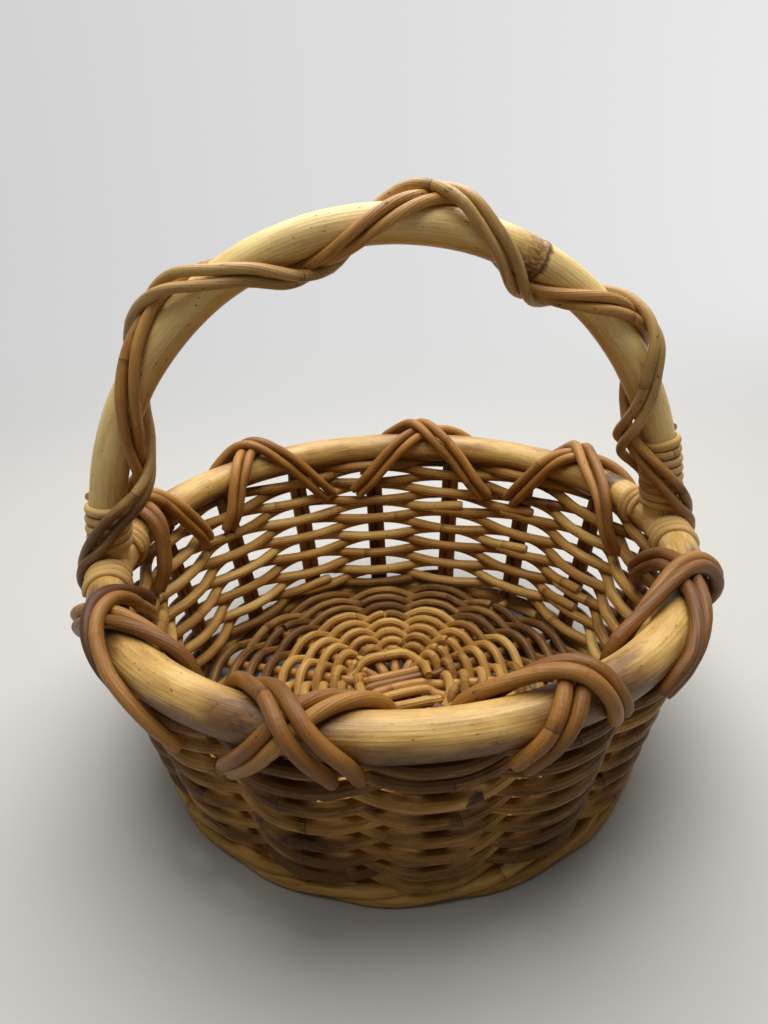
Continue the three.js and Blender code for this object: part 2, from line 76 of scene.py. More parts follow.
def mix(low, high, share):
    return low + (high - low) * share


# A cane has extra rings so many millimetres from each joint, and no other ring close to them
MILLIMETRE = 0.001
JOINT_RINGS = (-2.4, -0.9, 0, 0.9, 2.4)
RING_CLEARANCE = 0.0009
END_CLEARANCE = 0.001


# A path is a list of (point, outward) pairs. It is cut into even steps, with extra rings where
# the cane has its joints, so that the low swelling there is real.
def cut_path(path, step, start, spacing, closed):
    points = [point for point, _ in path] + ([path[0][0]] if closed else [])
    normals = [normal for _, normal in path] + ([path[0][1]] if closed else [])
    reached = [0.0]
    for before, after in zip(points, points[1:]):
        reached.append(reached[-1] + (after - before).length)
    length = reached[-1]
    pieces = max(2, round(length / step))
    joints = range(math.ceil(start / spacing), math.floor((start + length) / spacing) + 1)
    rings = [joint * spacing - start + beside * MILLIMETRE for joint in joints
             for beside in JOINT_RINGS]
    rings = [ring for ring in rings if END_CLEARANCE < ring < length - END_CLEARANCE]
    even = [length * i / pieces for i in range(pieces + (0 if closed else 1))]
    wanted = sorted(rings + [spot for spot in even
                             if not spot or spot == length
                             or all(abs(spot - ring) > RING_CLEARANCE for ring in rings)])
    cut = []
    i = 0
    for spot in wanted:
        while i < len(reached) - 2 and reached[i + 1] < spot:
            i += 1
        share = (spot - reached[i]) / max(reached[i + 1] - reached[i], 1e-9)
        cut.append((spot, points[i].lerp(points[i + 1], share),
                    normals[i].lerp(normals[i + 1], share).normalized()))
    return cut


# A cane swells at its joints, is slightly uneven between them, and is trimmed at its ends
SWAY_LENGTH = 0.045
SWELLING = 0.05
SWELLING_LENGTH = 0.0013
UNEVENNESS = 0.03
UNEVENNESS_LENGTH = 0.03
TRIMMED_END = 0.84
SHARP_EDGE = math.radians(45)
TO_MM = 1000


# One length of cane, drawn out ring by ring. The attributes hold the cane's own coordinates in
# millimetres, across, outward and along, a number that sets its tone, and how much dirt, scorching
# and painted shade it carries.
def lay_cane(mesh, path, thickness, sides=12, step=0.003, closed=False, spacing=0.19,
             wander=0.0004, flat=None, height=None, tone=None, start=None, soil_and_shade_at=None):
    lane = bmesh.new()
    grain = lane.verts.layers.float_vector.new("grain")
    tint = lane.verts.layers.float.new("tint")
    soil_and_shade = lane.verts.layers.float.new("soil_and_shade")
    start = chance.uniform(0, spacing) if start is None else start
    shade = chance.random() if tone is None else tone
    seed = chance.uniform(0, 100)
    cut = cut_path(path, step, start, spacing, closed)
    count = len(cut)
    centres = []
    for spot, point, _ in cut:
        sway = noise.noise_vector(Vector((spot / SWAY_LENGTH, seed, 0))) if not closed else Vector()
        centres.append(point + sway * wander)
    frames = []
    for i, (spot, _, outward) in enumerate(cut):
        before = centres[i - 1] if closed or i else centres[0]
        after = centres[(i + 1) % count] if closed or i < count - 1 else centres[i]
        along = (after - before).normalized()
        outward = (outward - along * outward.dot(along)).normalized()
        beyond = (start + spot) % spacing
        from_joint = min(beyond, spacing - beyond) / SWELLING_LENGTH
        size = 1 + SWELLING * math.exp(-from_joint * from_joint)
        size *= 1 + UNEVENNESS * noise.noise(Vector((spot / UNEVENNESS_LENGTH, seed, 7)))
        size *= TRIMMED_END if not closed and i in (0, count - 1) else 1
        axes = Matrix((outward.cross(along), outward, along)).transposed().to_4x4()
        across = size * thickness / 2
        rise = size * (height or thickness) / 2
        frames.append(Matrix.Translation(centres[i]) @ axes
                      @ Matrix.Diagonal((across, rise, 1, 1)))

    def mark(ring, place, spot):
        back = place.inverted()
        for vert in ring:
            local = back @ vert.co
            vert[grain] = (local.x * thickness / 2 * TO_MM, local.y * thickness / 2 * TO_MM,
                           (start + spot) * TO_MM)
            vert[tint] = shade
            # This value holds real dirt and scorch marks, and also painted shade on the hoop and on
            # the outside of the wall
            vert[soil_and_shade] = soil_and_shade_at(vert.co) if soil_and_shade_at else 0

    bmesh.ops.create_circle(lane, cap_ends=not closed, segments=sides, radius=1)
    if flat is not None:
        for vert in lane.verts:
            vert.co.y = max(vert.co.y, flat)
    bmesh.ops.transform(lane, matrix=frames[0], verts=lane.verts)
    ring = list(lane.verts)
    edges = list(lane.edges)
    first = edges
    mark(ring, frames[0], 0)
    for i in range(1, count):
        grown = bmesh.ops.extrude_edge_only(lane, edges=edges)["geom"]
        ring = [part for part in grown if isinstance(part, bmesh.types.BMVert)]
        edges = [part for part in grown if isinstance(part, bmesh.types.BMEdge)]
        bmesh.ops.transform(lane, matrix=frames[i] @ frames[i - 1].inverted(), verts=ring)
        mark(ring, frames[i], cut[i][0])
    if closed:
        bmesh.ops.bridge_loops(lane, edges=first + edges)
    else:
        bmesh.ops.contextual_create(lane, geom=edges)
    bmesh.ops.recalc_face_normals(lane, faces=lane.faces)
    for edge in lane.edges:
        edge.smooth = edge.calc_face_angle(0) < SHARP_EDGE
    length = bpy.data.meshes.new("length")
    lane.to_mesh(length)
    lane.free()
    mesh.from_mesh(length)
    bpy.data.meshes.remove(length)


def new_mesh():
    mesh = bmesh.new()
    mesh.verts.layers.float_vector.new("grain")
    mesh.verts.layers.float.new("tint")
    mesh.verts.layers.float.new("soil_and_shade")
    return mesh


def finish_piece(name, mesh, material, slot, *nodes):
    data = bpy.data.meshes.new(name)
    mesh.to_mesh(data)
    mesh.free()
    data.materials.append(material)
    piece = bpy.data.objects.new(name, data)
    bpy.context.scene.collection.objects.link(piece)
    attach(piece, "root")
    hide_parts(*nodes)


# Dark colour for charring, joint rings and specks, and also for painted shade
CHARRED_AND_SHADE = (0.03, 0.012, 0.004, 1)
DEEP_AT = 0.06
PALE_AT = 0.94


# Rattan under satin lacquer: lengthwise fibres, slow changes of tone, a crooked dark ring at each
# joint, small dark specks, scorched blots, and dirt together with painted shade where the cane is
# marked as soiled, and darker faces turned downward where asked. Lengths are in millimetres.
def rattan(name, deep, middle, pale, spacing, rough=0.42, coat=0.12, fibre=1.0, specks=0.5,
           scorched=0.3, ring=0.4, underside_stain_and_shade=0.0, streaky=0.4, gloss=0.26, mottled=0.25):
    material = bpy.data.materials.new(name)
    material.use_nodes = True
    tree = material.node_tree
    tree.nodes.clear()

    def node(kind, inputs=None, **settings):
        made = tree.nodes.new(kind)
        for key, value in settings.items():
            setattr(made, key, value)
        for key, value in (inputs or {}).items():
            if isinstance(value, bpy.types.NodeSocket):
                tree.links.new(value, made.inputs[key])
            else:
                made.inputs[key].default_value = value
        return made

    def math_node(operation, first, second=0.0, third=0.0):
        made = node("ShaderNodeMath", {0: first, 1: second, 2: third}, operation=operation)
        return made.outputs[0]

    def attribute(wanted, output="Fac"):
        return node("ShaderNodeAttribute", attribute_name=wanted).outputs[output]

    def cane_noise(scale, detail=3.0, roughness=0.55):
        stretched = node("ShaderNodeMapping", {"Vector": grain, "Scale": scale})
        made = node("ShaderNodeTexNoise", {"Vector": stretched.outputs[0], "Scale": 1.0, "W": lane,
                                           "Detail": detail, "Roughness": roughness},
                    noise_dimensions="4D")
        return made.outputs["Fac"]

    def remap(value, low, high, to_low=0.0, to_high=1.0, smooth=False):
        made = node("ShaderNodeMapRange", {"Value": value, "From Min": low, "From Max": high,
                                           "To Min": to_low, "To Max": to_high},
                    interpolation_type="SMOOTHSTEP" if smooth else "LINEAR")
        return made.outputs[0]

    def shaded(level, value, amount):
        return math_node("MULTIPLY_ADD", math_node("SUBTRACT", value, 0.5), amount, level)

    grain = attribute("grain", "Vector")
    tint = attribute("tint")
    lane = math_node("MULTIPLY", tint, 91.0)
    axes = node("ShaderNodeSeparateXYZ", {0: grain})
    fibres = cane_noise((2.6 / fibre, 2.6 / fibre, 0.035), 4.0, 0.65)
    streaks = cane_noise((0.7 / fibre, 0.7 / fibre, 0.012), 2.0, 0.5)
    patches = cane_noise((0.16, 0.16, 0.03), 4.0, 0.65)
    spots = cane_noise((0.6, 0.6, 0.3), 2.0, 0.5)
    blots = cane_noise((0.12, 0.12, 0.028), 5.0, 0.7)

    # The joint rings run a little askew, and fade here and there
    askew = math_node("MULTIPLY_ADD", axes.outputs["X"], 0.16, axes.outputs["Z"])
    askew = shaded(askew, patches, 5.0 * ring)
    length = spacing * TO_MM
    share = math_node("DIVIDE", askew, length)
    section = math_node("FLOOR", share)
    to_joint = math_node("MULTIPLY", math_node("PINGPONG", share, 0.5), length)
    past_joint = math_node("MULTIPLY", math_node("FRACT", share), length)
    joint = math_node("MULTIPLY", remap(to_joint, 0.35 * ring, 1.5 * ring, 1.0, 0.0, True),
                      remap(spots, 0.35, 0.6, 1.0, 0.45))
    near_joint = math_node("MULTIPLY", remap(past_joint, length - 17 * ring, length - 2 * ring,
                                             0.0, 1.0, True), remap(spots, 0.35, 0.55, 0.4, 1.0))
    stretch = node("ShaderNodeTexWhiteNoise", {"W": math_node("ADD", section, lane)},
                   noise_dimensions="1D").outputs["Value"]
    level = shaded(0.5, fibres, 0.45)
    level = shaded(level, streaks, streaky)
    level = shaded(level, patches, 1.0)
    level = shaded(level, blots, mottled)
    level = shaded(level, stretch, 0.16)
    level = shaded(level, tint, 0.75)
    level = math_node("MULTIPLY_ADD", near_joint, -0.1 - 0.4 * ring, level)
    # The cane darkens with real dirt and scorching, and also with painted shade
    soil_and_shade = attribute("soil_and_shade")
    dirt_and_shade = math_node("MULTIPLY", soil_and_shade, remap(blots, 0.4, 0.58, 0.12, 1.0, True))
    level = math_node("MULTIPLY_ADD", soil_and_shade, -0.34, level)
    level = math_node("MULTIPLY_ADD", dirt_and_shade, -0.6, level)
    # Faces turned downward are darkened: painted shade, with some real stain along the hoop's lower
    # edge
    if underside_stain_and_shade:
        facing = node("ShaderNodeSeparateXYZ", {0: node("ShaderNodeNewGeometry").outputs["Normal"]})
        below = remap(facing.outputs["Z"], 0.0, -0.85, 0.0, underside_stain_and_shade, True)
        level = math_node("SUBTRACT", level, math_node("MULTIPLY", below, patches))
    ramp = node("ShaderNodeValToRGB", {0: level})
    colors = ramp.color_ramp.elements
    colors[0].position, colors[1].position = DEEP_AT, PALE_AT
    colors[0].color, colors[1].color = (*deep, 1), (*pale, 1)
    colors.new(0.5).color = (*middle, 1)
    speck = remap(spots, 0.73 - 0.08 * specks, 0.78 - 0.06 * specks, 0.0, 0.8, True)
    scorch = remap(blots, 0.78 - 0.1 * scorched, 0.84 - 0.1 * scorched, 0.0, 0.85, True)
    marks = math_node("MAXIMUM", speck, math_node("MULTIPLY", scorch, remap(fibres, 0.3, 0.55)))
    # The dark colour is laid on by dirt and scorching, and also by painted shade
    grime_and_shade = math_node("MULTIPLY", remap(dirt_and_shade, 0.4, 1.0, 0.0, 0.8, True),
                      remap(spots, 0.35, 0.6, 0.35, 1.0))
    dark = math_node("MAXIMUM", math_node("MULTIPLY", joint, 0.85),
                     math_node("MAXIMUM", marks, grime_and_shade))
    color = node("ShaderNodeMix", {"Factor": dark, "A": ramp.outputs["Color"],
                                   "B": CHARRED_AND_SHADE}, data_type="RGBA")
    relief = math_node("MULTIPLY_ADD", joint, -0.4, math_node("MULTIPLY_ADD", streaks, 0.8, fibres))
    bump = node("ShaderNodeBump", {"Height": relief, "Strength": 0.4, "Distance": 0.0005})
    roughness = math_node("MULTIPLY_ADD", dark, 0.2,
                          remap(patches, 0.3, 0.7, rough + 0.1, rough - 0.06))
    shader = node("ShaderNodeBsdfPrincipled", {
        "Base Color": color.outputs["Result"], "Roughness": roughness, "Specular IOR Level": gloss,
        "Coat Weight": coat, "Coat Roughness": 0.3, "Normal": bump.outputs[0]})
    node("ShaderNodeOutputMaterial", {"Surface": shader.outputs[0]})
    return material


peeled_pole = rattan("peeled_pole", (0.17, 0.075, 0.016), (0.53, 0.315, 0.085),
                     (0.80, 0.59, 0.23), POLE_JOINT_SPACING, rough=0.42, fibre=1.3,
                     specks=0.8, scorched=0.5, ring=1.5, underside_stain_and_shade=0.8, streaky=0.2, gloss=0.38,
                     mottled=0.8)
# Degrees round the hoop of the crossings beside which it holds grime and painted shade, how far
# these spread on either side of each, how much stain and painted shade lie along its lower outer
# side, and the place and half width of one scorched band
CANES_OVER_HOOP = (30, 77, 123, 160, 204, 248, 293, 333)
GRIME_AND_SHADE_SPREAD = 13
STAIN_AND_SHADE_BELOW = 1.3
SCORCHED_AT = 18.5
SCORCHED_HALF_WIDTH = 1.5
SCORCHED_DEPTH = 6


# Grime and painted shade on the hoop's outer side beside the crossings, stain and painted shade
# along its lower outer side, and one real scorched band
def hoop_grime_and_shade(spot):
    angle = math.degrees(math.atan2(spot.y, spot.x))
    nearest = min(abs((angle - crossing + 180) % 360 - 180) for crossing in CANES_OVER_HOOP)
    outer = ease((math.hypot(spot.x, spot.y) - HOOP_RADIUS) / HOOP_THICKNESS + 0.6)
    below = ease((HOOP_HEIGHT - spot.z) / HOOP_THICKNESS + 0.45)
    scorched = SCORCHED_DEPTH * ease(1.5 - abs(angle - SCORCHED_AT) / SCORCHED_HALF_WIDTH)
    grime_and_shade = max(ease(1.25 - nearest / GRIME_AND_SHADE_SPREAD), STAIN_AND_SHADE_BELOW * below)
    return max(grime_and_shade * outer, scorched)


hoop_angles = [FULL_TURN * (i + 0.5) / HOOP_PATH_STEPS for i in range(HOOP_PATH_STEPS)]
hoop_path = [(polar(HOOP_RADIUS, angle, HOOP_HEIGHT), radial(angle)) for angle in hoop_angles]
hoop = new_mesh()
lay_cane(hoop, hoop_path, HOOP_THICKNESS, POLE_SIDES, HOOP_STEP, closed=True,
         spacing=POLE_JOINT_SPACING, tone=HOOP_TONE, start=HOOP_JOINT_START, soil_and_shade_at=hoop_grime_and_shade)
finish_piece("hoop", hoop, peeled_pole, "pole", "rim_hoop")

# Handle. One more peeled pole, bent into an arch whose feet sit astride the hoop. It narrows
# nowhere, and one joint of the pole shows right of the middle.
HANDLE_THICKNESS = 0.021
HANDLE_RISE = 0.186
HANDLE_FULLNESS = 0.983
HANDLE_JOINT_START = 0.1335
# The handle is painted much paler than the hoop, as painted light on it
HANDLE_TONE_WITH_PAINTED_LIGHT = 0.88
HANDLE_PATH_STEPS = 240
ARCH_SAMPLES = 1200


def arch_point(share):
    angle = math.pi * share
    across = math.cos(angle)
    reach = math.copysign(abs(across) ** HANDLE_FULLNESS, across)
    rise = max(math.sin(angle), 0) ** HANDLE_FULLNESS
    return Vector((-HOOP_RADIUS * reach, 0, HOOP_HEIGHT + HANDLE_RISE * rise))


arch_points = [arch_point(i / ARCH_SAMPLES) for i in range(ARCH_SAMPLES + 1)]
arch_reached = [0.0]
for arch_from, arch_to in zip(arch_points, arch_points[1:]):
    arch_reached.append(arch_reached[-1] + (arch_to - arch_from).length)
ARCH_LENGTH = arch_reached[-1]


def arch_at(share):
    wanted = min(max(share, 0), 1) * ARCH_LENGTH
    low, high = 0, ARCH_SAMPLES
    while high - low > 1:
        middle = (low + high) // 2
        if arch_reached[middle] <= wanted:
            low = middle
        else:
            high = middle
    part = (wanted - arch_reached[low]) / (arch_reached[high] - arch_reached[low])
    along = (arch_points[high] - arch_points[low]).normalized()
    return arch_points[low].lerp(arch_points[high], part), FRONT.cross(along)


handle_path = [arch_at(i / HANDLE_PATH_STEPS) for i in range(HANDLE_PATH_STEPS + 1)]
handle = new_mesh()
lay_cane(handle, handle_path, HANDLE_THICKNESS, POLE_SIDES, HOOP_STEP,
         spacing=POLE_JOINT_SPACING, wander=0, tone=HANDLE_TONE_WITH_PAINTED_LIGHT, start=HANDLE_JOINT_START)
finish_piece("handle", handle, peeled_pole, "pole", "handle_pole")

# Bindings. Split cane, flat inside and round outside, wound tightly round the handle's feet and
# round the hoop before and behind each foot. They hold the handle to the hoop.
BINDING_WIDTH = 0.0057
BINDING_THICKNESS = 0.0026
BINDING_ROUND_HEIGHT = 0.0023
BINDING_FLAT_SIDE = -0.15
BINDING_PITCH = 0.0059
BINDING_SEAT_GAP = 0.00095
BINDING_GAP = 0.00035
BINDING_CLEARANCE = 0.0002
BINDING_MARGIN = 0.0025
BINDING_APART = 0.0004
FOOT_BINDING_TURNS = 8
LEFT_FOOT_LACKS_TURNS = 3
RIM_BINDING_TURNS = 2.5
BINDING_STEPS = 36
split_cane = rattan("split_cane", (0.20, 0.09, 0.02), (0.46, 0.255, 0.07), (0.66, 0.43, 0.155),
                    0.23, rough=0.45, coat=0.08, specks=0.2, scorched=0.1)
pole_binding_radius = HANDLE_THICKNESS / 2 + BINDING_GAP + BINDING_CLEARANCE
hoop_binding_radius = HOOP_THICKNESS / 2 + BINDING_GAP + BINDING_CLEARANCE
foot_binding_start = HOOP_THICKNESS / 2 + BINDING_SEAT_GAP + BINDING_MARGIN
foot_binding_end = foot_binding_start + FOOT_BINDING_TURNS * BINDING_PITCH + BINDING_MARGIN
rim_binding_start = (HANDLE_THICKNESS / 2 + 2 * BINDING_GAP + BINDING_THICKNESS + BINDING_MARGIN
                     + BINDING_APART)
rim_binding_end = rim_binding_start + RIM_BINDING_TURNS * BINDING_PITCH + BINDING_MARGIN


def winding(turns, frame_at, radius):
    steps = round(turns * BINDING_STEPS)
    path = []
    for i in range(steps + 1):
        centre, outward, side = frame_at(turns * i / steps)
        angle = FULL_TURN * turns * i / steps
        normal = outward * math.cos(angle) + side * math.sin(angle)
        path.append((centre + normal * radius, normal))
    return path


def bind(name, node, path):
    mesh = new_mesh()
    lay_cane(mesh, path, BINDING_WIDTH, step=0.0025, spacing=0.23, wander=0.0003,
             flat=BINDING_FLAT_SIDE, height=2 * BINDING_ROUND_HEIGHT,
             tone=chance.uniform(0.5, 0.8))
    finish_piece(name, mesh, split_cane, "binding", node)


for place, at_right in (("left", False), ("right", True)):
    def foot_frame(turn):
        distance = foot_binding_start + turn * BINDING_PITCH
        share = distance / ARCH_LENGTH
        centre, outward = arch_at(1 - share if at_right else share)
        return centre, outward, FRONT

    foot_turns = FOOT_BINDING_TURNS - (0 if at_right else LEFT_FOOT_LACKS_TURNS)
    bind(f"foot_binding_{place}", f"handle_binding_{place}",
         winding(foot_turns, foot_frame, pole_binding_radius))
    for depth, side in (("front", -1), ("back", 1)):
        def rim_frame(turn):
            swing = side * (rim_binding_start + turn * BINDING_PITCH) / HOOP_RADIUS
            angle = swing if at_right else math.pi - swing
            return polar(HOOP_RADIUS, angle, HOOP_HEIGHT), -radial(angle), UP

        bind(f"rim_binding_{place}_{depth}_turns", f"rim_binding_{place}_{depth}",
             winding(RIM_BINDING_TURNS, rim_frame, hoop_binding_radius))

# Twining. Four round canes climb the handle in two pairs of opposite hand, and the lighter pair
# lies over the other. Their ends go down outside the bindings and in behind the border.
TWINE_THICKNESS = 0.006
TWINE_SPREAD = 0.28
TWINE_STEP_DOWN = 0.012
TWINE_NESTING = 0.9
TWINE_MEETS = math.radians(150)
TWINE_MEETING_RUN = math.radians(95)
TWINE_STEPS = 280
TWINE_PHASE_EASING = 40
TWINE_EASING = 10
TWINE_END_STEPS = 8
TWINE_END_DIP_DEGREES = 6
TWINE_DARKER_HEIGHT = 0.06
TWINE_DARKER_RUN = 0.03
under_cane = rattan("under_cane", (0.11, 0.042, 0.009), (0.40, 0.185, 0.04), (0.60, 0.34, 0.09),
                    0.24, rough=0.4, coat=0.18, specks=0.8)
over_cane = rattan("over_cane", (0.14, 0.07, 0.017), (0.45, 0.265, 0.082), (0.65, 0.45, 0.175),
                   0.21, rough=0.42, coat=0.18, specks=1.0)
under_twine_radius = HANDLE_THICKNESS / 2 + BINDING_GAP + TWINE_THICKNESS / 2
over_twine_radius = under_twine_radius + TWINE_THICKNESS * TWINE_NESTING
twine_clearance = HOOP_THICKNESS / 2 + BINDING_THICKNESS + 2 * BINDING_GAP + TWINE_THICKNESS / 2


def keep_off_hoop(point, clearance):
    core = polar(HOOP_RADIUS, math.atan2(point.y, point.x), HOOP_HEIGHT)
    away = point - core
    return core + away.normalized() * clearance if away.length < clearance else point


def relaxed(values, times):
    for _ in range(times):
        values = [values[0]] + [(a + 2 * b + c) / 4 for a, b, c in
                                zip(values, values[1:], values[2:])] + [values[-1]]
    return values


# Metres along the arch from the left foot, and the turns that the canes have made there
TWINE_TURNS = ((0, 0.078), (0.065, 0.5), (0.160, 1), (0.238, 1.5), (0.308, 2), (0.371, 2.5),
               (0.432, 3), (ARCH_LENGTH - 0.069, 3.5), (ARCH_LENGTH, 3.95))
twine_phases = []
for i in range(TWINE_STEPS + 1):
    reached = i / TWINE_STEPS * ARCH_LENGTH
    for (low, before), (high, after) in zip(TWINE_TURNS, TWINE_TURNS[1:]):
        if reached <= high or high == ARCH_LENGTH:
            turns = mix(before, after, (reached - low) / (high - low))
            break
    twine_phases.append(FULL_TURN * turns)
twine_phases = relaxed(twine_phases, TWINE_PHASE_EASING)


def twine(hand, side, over):
    path = []
    for i in range(TWINE_STEPS + 1):
        share = i / TWINE_STEPS
        angle = hand * twine_phases[i] + side * TWINE_SPREAD
        meeting = angle + hand * twine_phases[i]
        apart = abs(math.atan2(math.sin(meeting), math.cos(meeting)))
        from_foot = min(share, 1 - share) * ARCH_LENGTH
        near_foot = ease(from_foot / HANDLE_THICKNESS - 1)
        crossing = near_foot * ease((TWINE_MEETS - apart) / TWINE_MEETING_RUN) if over else 0
        past_binding = from_foot - foot_binding_end - TWINE_THICKNESS
        on_binding = 1 - ease(past_binding / TWINE_STEP_DOWN)
        radius = (under_twine_radius + crossing * (over_twine_radius - under_twine_radius)
                  + on_binding * (BINDING_THICKNESS + BINDING_GAP))
        centre, outward = arch_at(share)
        normal = outward * math.cos(angle) + FRONT * math.sin(angle)
        path.append((keep_off_hoop(centre + normal * radius, twine_clearance), normal))
    ends = []
    for point, _ in (path[0], path[-1]):
        heading = math.atan2(point.y, point.x)
        core = polar(HOOP_RADIUS, heading, HOOP_HEIGHT)
        dips = [math.radians(-TWINE_END_DIP_DEGREES * i) for i in range(1, TWINE_END_STEPS)]
        below = [radial(heading) * math.cos(dip) + UP * math.sin(dip) for dip in dips]
        ends.append([(core + normal * twine_clearance, normal) for normal in below])
    path = ends[0][::-1] + path + ends[1]
    points = relaxed([point for point, _ in path], TWINE_EASING)
    return [(point, normal) for point, (_, normal) in zip(points, path)]


# The twined canes are darker low down near the handle's feet, more at the left
def twine_darker_near_feet(spot):
    near_foot = ease((HOOP_HEIGHT + TWINE_DARKER_HEIGHT - spot.z) / TWINE_DARKER_RUN)
    return (0.25 if spot.x > 0 else 0.7) * near_foot


for layer, hand, over, finish in (("under", -1, False, under_cane), ("over", 1, True, over_cane)):
    for number, side in ((1, -1), (2, 1)):
        mesh = new_mesh()
        lay_cane(mesh, twine(hand, side, over), TWINE_THICKNESS, sides=14, step=0.0025,
                 spacing=0.22, wander=0.0006, soil_and_shade_at=twine_darker_near_feet)
        finish_piece(f"twined_cane_{layer}_{number}", mesh, finish, "twine",
                     f"handle_cane_{layer}_{number}")

# Stakes. Sixteen pairs of round canes stand round the wall, from the foot ring to the underside
# of the hoop. They are darker than the weavers, and a dark line shows between the two canes.
STAKE_THICKNESS = 0.007
STAKE_FOOT_RADIUS = 0.146
STAKE_TOP_INSET = 0.003
STAKE_SAWN_END = 0.003
STAKE_SQUEEZE = 0.485
STAKE_PATH_STEPS = 40
STICKS_PER_LAYER = 4
FOOT_THICKNESS = 0.012
FOOT_RADIUS = 0.148
FOOT_ACROSS_FLATS = math.cos(math.pi / 8)
CANE_GAP = 0.00035
stake_cane = rattan("stake_cane", (0.08, 0.03, 0.007), (0.25, 0.11, 0.026), (0.42, 0.215, 0.058),
                    0.2, rough=0.5, coat=0.05, specks=0.6)
stake_foot = FOOT_THICKNESS * FOOT_ACROSS_FLATS + CANE_GAP
stake_top = HOOP_HEIGHT - HOOP_THICKNESS / 2 - CANE_GAP
stake_pairs = 4 * STICKS_PER_LAYER
stake_step = FULL_TURN / stake_pairs


def stake_radius(height):
    low = stake_foot + STAKE_SAWN_END
    share = (height - low) / (stake_top - STAKE_SAWN_END - low)
    return mix(STAKE_FOOT_RADIUS, HOOP_RADIUS - STAKE_TOP_INSET, min(max(share, 0), 1))


for pair in range(stake_pairs):
    angle = stake_step * pair
    mesh = new_mesh()
    for side in (-1, 1):
        sideways = UP.cross(radial(angle)) * side * STAKE_THICKNESS * STAKE_SQUEEZE
        heights = [mix(stake_foot, stake_top, i / STAKE_PATH_STEPS)
                   for i in range(STAKE_PATH_STEPS + 1)]
        path = [(polar(stake_radius(height), angle, height) + sideways, radial(angle))
                for height in heights]
        lay_cane(mesh, path, STAKE_THICKNESS, step=0.006, spacing=0.2, wander=0.0003)
    finish_piece(f"stakes_{pair + 1:02d}", mesh, stake_cane, "stake", f"stake_pair_{pair + 1:02d}")

# Foot. Three canes wrap the bottom edge, each outside two pairs of stakes and inside the next,
# rising as it goes, so that a new stroke always starts under the last. The basket rests on them.
weaver_cane = rattan("weaver_cane", (0.11, 0.046, 0.010), (0.40, 0.200, 0.044),
                     (0.62, 0.40, 0.12), 0.19, rough=0.48, coat=0.03, specks=0.6, scorched=0.55,
                     gloss=0.18)
FOOT_CANE_THICKNESS = 0.0072
FOOT_CANES = 3
FOOT_STROKE = 3
FOOT_STEPS = 24
FOOT_TONE = 0.45
FOOT_NEXT_PALER = 0.15
# Pairs of stakes along a stroke, then the radius and the height there
FOOT_KNOTS = ((0.0, 0.1460, 0.0080), (0.42, 0.1500, 0.0042), (1.1, 0.1528, 0.0038),
              (1.9, 0.1528, 0.0092), (2.5, 0.1490, 0.0106), (3.0, 0.1460, 0.0080))
foot_height = FOOT_THICKNESS / 2 * FOOT_ACROSS_FLATS


def foot_spot(place):
    place %= FOOT_STROKE
    for (low, low_radius, low_height), (high, high_radius, high_height) in zip(
            FOOT_KNOTS, FOOT_KNOTS[1:]):
        if place <= high:
            share = ease((place - low) / (high - low))
            return mix(low_radius, high_radius, share), mix(low_height, high_height, share)


foot = new_mesh()
for strand in range(FOOT_CANES):
    foot_path = []
    for i in range((stake_pairs + 1) * FOOT_STEPS):
        place = i / FOOT_STEPS
        radius, height = foot_spot(place)
        angle = stake_step * (place + strand - 0.5)
        foot_path.append((polar(radius, angle, height), radial(angle)))
    lay_cane(foot, foot_path, FOOT_CANE_THICKNESS, sides=14, step=0.004, spacing=0.22,
             wander=0.0002, tone=FOOT_TONE + FOOT_NEXT_PALER * strand)
finish_piece("foot", foot, weaver_cane, "weaver", "foot_ring")

# Wall weavers. Two runs of cane chase each other up the wall, outside one pair of stakes and
# inside the next. Each run is many lengths, whose cut ends lie beside each other inside.
WEAVER_THICKNESS = 0.007
WEAVER_SWOLLEN = 0.0076
WEAVE_GAP = 0.00057
ROW_PITCH = 0.0074
BASE_STICK_THICKNESS = 0.0055
BASE_WEAVER_THICKNESS = 0.006
BASE_WEAVER_SWOLLEN = 0.0066
BASE_FLOOR_GAP = 0.0007
WEAVER_END_PAST_STAKE = 0.22
WEAVER_LENGTHS = (10, 12, 14, 16)
SHORTEST_LENGTH = 6
WEAVE_STEPS = 24
SWING_STARTS = 0.07
SWING_RUN = 0.86
LIFTED_END = 0.9
LIFTED_RUN = 0.8
LEVEL_CROSSINGS = 6
LEVEL_RISE = 0.004
# Tones, and the shares of the wall's height where its lowest and highest rows are darker
WALL_TONE = 0.68
LOW_ROWS = 0.12
LOW_ROWS_DARKER = 0.3
HIGH_ROWS_START = 0.8
HIGH_ROWS_RUN = 0.15
HIGH_ROWS_DARKER = 0.12
base_contact = (BASE_STICK_THICKNESS + BASE_WEAVER_THICKNESS) / 2 + CANE_GAP
base_height = BASE_FLOOR_GAP + BASE_WEAVER_THICKNESS / 2 + base_contact
base_top = max(base_height + BASE_STICK_THICKNESS / 2, 2 * foot_height)
weave_offset = (STAKE_THICKNESS + WEAVER_THICKNESS) / 2 + WEAVE_GAP
first_row = base_top + CANE_GAP + WEAVER_THICKNESS / 2
last_row = stake_top - WEAVER_THICKNESS / 2
wall_crossings = math.floor((last_row - first_row) / (2 * ROW_PITCH) * stake_pairs)


def weave(share):
    crossing = math.floor(share)
    swing = 1 - 2 * ease((share - crossing - SWING_STARTS) / SWING_RUN)
    return swing * (1 if crossing % 2 == 0 else -1)


